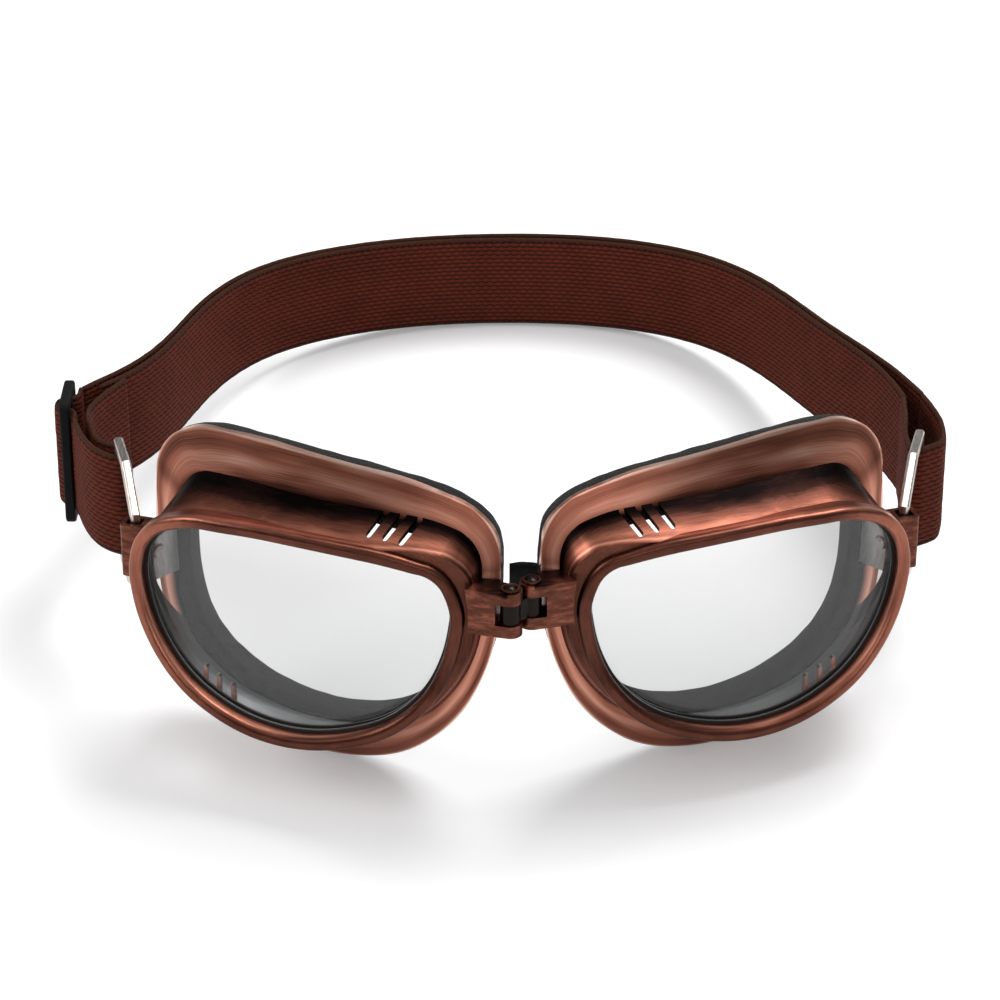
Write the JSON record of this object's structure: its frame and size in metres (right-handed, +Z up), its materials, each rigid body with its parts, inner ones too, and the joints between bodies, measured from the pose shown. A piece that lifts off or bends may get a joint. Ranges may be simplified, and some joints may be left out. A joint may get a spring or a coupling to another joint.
{
  "type": "aviator flying goggles",
  "caption": "Aviator goggles with hinged metal cups, clear curved lenses, foam face pads, vent slots and a doubled elastic strap on swivelling rings with a slider.",
  "frame": {"origin": "under the middle of the goggles' bounding box, on the surface that they rest on", "axes": "+X to the wearer's left, +Y from the lenses towards the back of the head, +Z up as the goggles lie leaned back on a table"},
  "size_m": [0.203, 0.1752, 0.075],
  "materials": {
    "copper_frame": "antique copper plate, brushed, worn brighter along the rim and brim edges",
    "clear_lens": "clear polished lens",
    "lens_rubber": "matt black rubber",
    "foam_pad": "open cell black foam, matt",
    "dark_steel": "blackened steel, satin",
    "ring_steel": "brushed steel with a faint copper tint",
    "nose_leather": "black, matt",
    "elastic_strap": "ribbed woven elastic, dark reddish brown",
    "slider_black": "black, satin"
  },
  "bodies": {
    "bridge_and_strap": {"bridge_link": "dark_steel", "left_hinge_pin": "dark_steel", "right_hinge_pin": "dark_steel", "nose_strip": "nose_leather", "strap_outer_band": "elastic_strap", "strap_inner_band": "elastic_strap", "strap_sewn_end": "elastic_strap"},
    "left_cup": {"left_bezel": "copper_frame", "left_brim": "copper_frame", "left_lens": "clear_lens", "left_lens_gasket": "lens_rubber", "left_face_pad": "foam_pad", "left_hinge_knuckle": "copper_frame", "left_strap_lug": "copper_frame", "left_lug_plate": "copper_frame", "left_lug_rivet": "copper_frame"},
    "right_cup": {"right_bezel": "copper_frame", "right_brim": "copper_frame", "right_lens": "clear_lens", "right_lens_gasket": "lens_rubber", "right_face_pad": "foam_pad", "right_hinge_knuckle": "copper_frame", "right_strap_lug": "copper_frame", "right_lug_plate": "copper_frame", "right_lug_rivet": "copper_frame"},
    "left_ring": {"left_strap_ring": "ring_steel", "left_strap_loop": "elastic_strap"},
    "right_ring": {"right_strap_ring": "ring_steel", "right_strap_loop": "elastic_strap"},
    "slider": {"strap_slider": "slider_black", "strap_slider_fold": "elastic_strap"}
  },
  "joints": [
    {"name": "left_cup_swing", "type": "hinge", "parent": "bridge_and_strap", "child": "left_cup", "pos_m": [0.00739, -0.07748, 0.0512], "axis": [0, 0.228, 0.9737], "range_deg": [-12, 8], "deforming": ["strap_outer_band", "strap_inner_band", "nose_strip"]},
    {"name": "right_cup_swing", "type": "hinge", "parent": "bridge_and_strap", "child": "right_cup", "pos_m": [0.00284, -0.0812, 0.05207], "axis": [0, -0.228, -0.9737], "range_deg": [-12, 8], "deforming": ["strap_outer_band", "strap_inner_band", "strap_sewn_end", "nose_strip"]},
    {"name": "left_ring_swing", "type": "hinge", "parent": "left_cup", "child": "left_ring", "pos_m": [0.08932, -0.04943, 0.04463], "axis": [0, -0.228, -0.9737], "range_deg": [-20, 60], "deforming": ["left_strap_loop", "strap_outer_band", "strap_inner_band"]},
    {"name": "right_ring_swing", "type": "hinge", "parent": "right_cup", "child": "right_ring", "pos_m": [-0.07908, -0.05315, 0.0455], "axis": [0, 0.228, 0.9737], "range_deg": [-20, 60], "deforming": ["right_strap_loop", "strap_sewn_end", "strap_slider_fold"]},
    {"name": "slider_travel", "type": "slide", "parent": "right_cup", "child": "slider", "axis": [0, 0.9737, -0.228], "range_m": [-0.006, 0.01], "deforming": ["strap_slider_fold", "right_strap_loop", "strap_outer_band", "strap_sewn_end"]}
  ]
}
